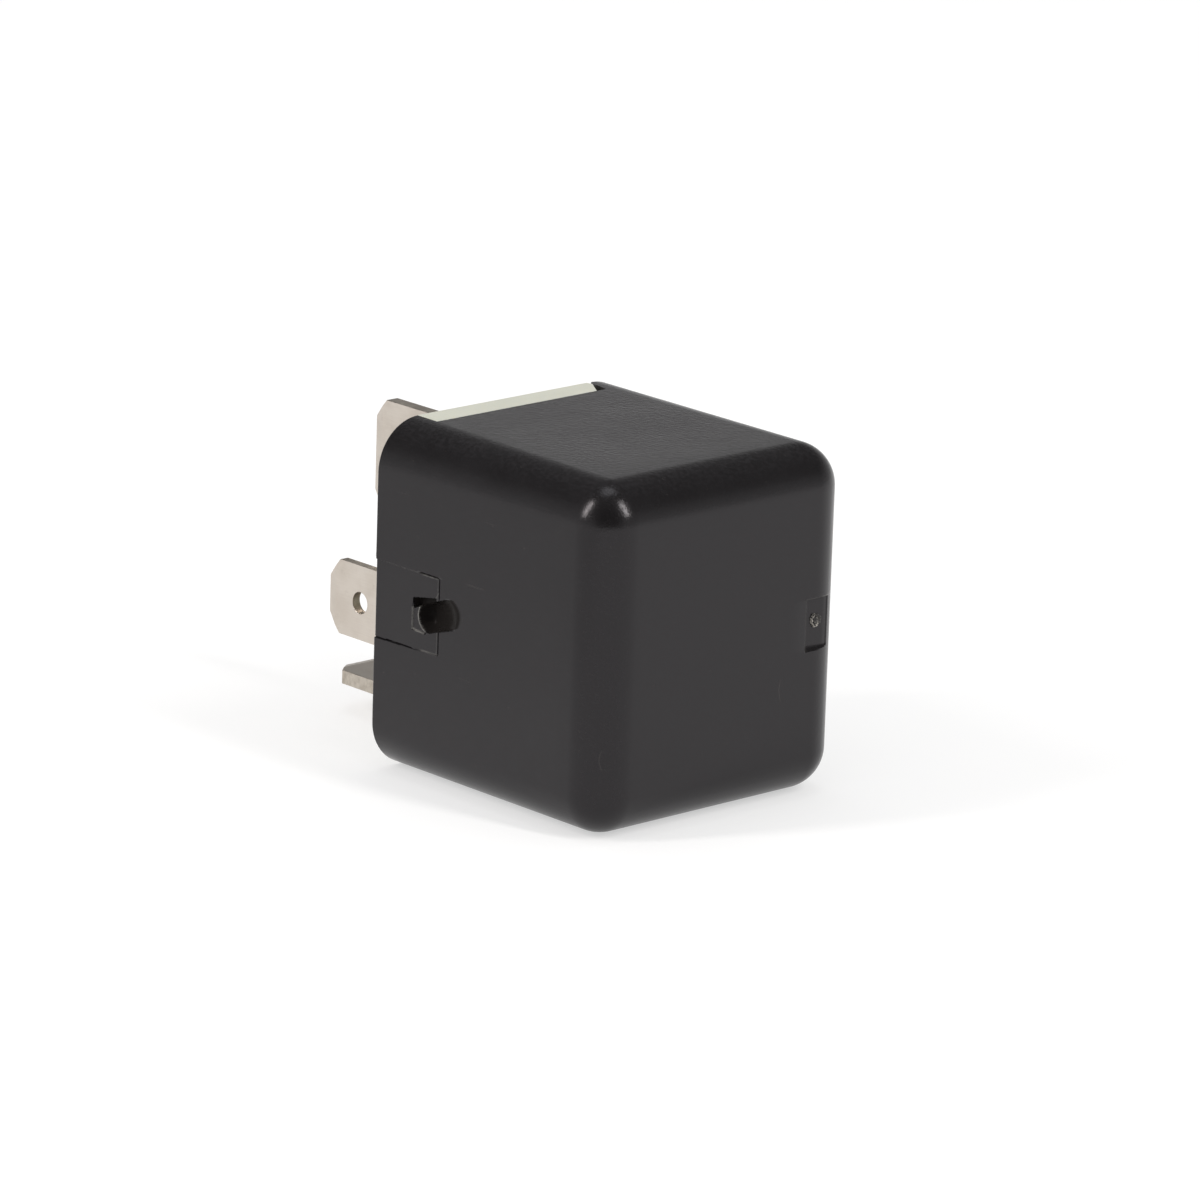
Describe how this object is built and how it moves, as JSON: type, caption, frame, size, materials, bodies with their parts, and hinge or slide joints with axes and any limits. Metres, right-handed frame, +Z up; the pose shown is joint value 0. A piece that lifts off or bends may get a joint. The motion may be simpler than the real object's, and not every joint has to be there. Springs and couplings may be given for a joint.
{
  "type": "automotive relay",
  "caption": "Plug-in automotive power relay in a black moulded cover with ball corners, cream base, flat blade terminals and a tipping armature inside.",
  "frame": {"origin": "centre of the seating face, the plane of the cover's rim where the relay meets its socket", "axes": "-X the way the terminals point, +X towards the closed end of the cover, +Z up as the relay lies on its side, -Y the near side in the picture with the latch panel"},
  "size_m": [0.0422, 0.027, 0.029],
  "materials": {
    "cover_plastic": "satin black moulded, finely brushed top",
    "base_plastic": "matt cream moulded",
    "tinned_brass": "satin tin plate",
    "plated_steel": "bright zinc plate",
    "bobbin_plastic": "matt moulded",
    "winding_copper": "enamelled copper wire",
    "spring_bronze": "rolled bronze",
    "contact_silver": "silver alloy",
    "braid_copper": "woven bare copper",
    "resistor_lacquer": "lacquered"
  },
  "bodies": {
    "relay": {"cover": "cover_plastic", "base": "base_plastic", "terminal_30": "tinned_brass", "terminal_87": "tinned_brass", "terminal_85": "tinned_brass", "terminal_86": "tinned_brass", "yoke": "plated_steel", "core": "plated_steel", "bobbin": "bobbin_plastic", "coil_winding": "winding_copper", "coil_leads": "winding_copper", "yoke_rivets": "plated_steel", "fixed_contact": "contact_silver", "resistor_body": "resistor_lacquer", "resistor_leads": "plated_steel"},
    "armature_unit": {"armature": "plated_steel", "contact_spring": "spring_bronze", "armature_rivets": "plated_steel", "moving_contact": "contact_silver", "copper_braid": "braid_copper"}
  },
  "joints": [
    {"name": "armature_pivot", "type": "hinge", "parent": "relay", "child": "armature_unit", "pos_m": [0.02026, 0, 0.0106], "axis": [0, 1, 0], "range_deg": [0, 4], "stiffness_Nm_per_rad": 0.05, "springref_deg": -5.73, "deforming": ["contact_spring", "copper_braid"]}
  ]
}
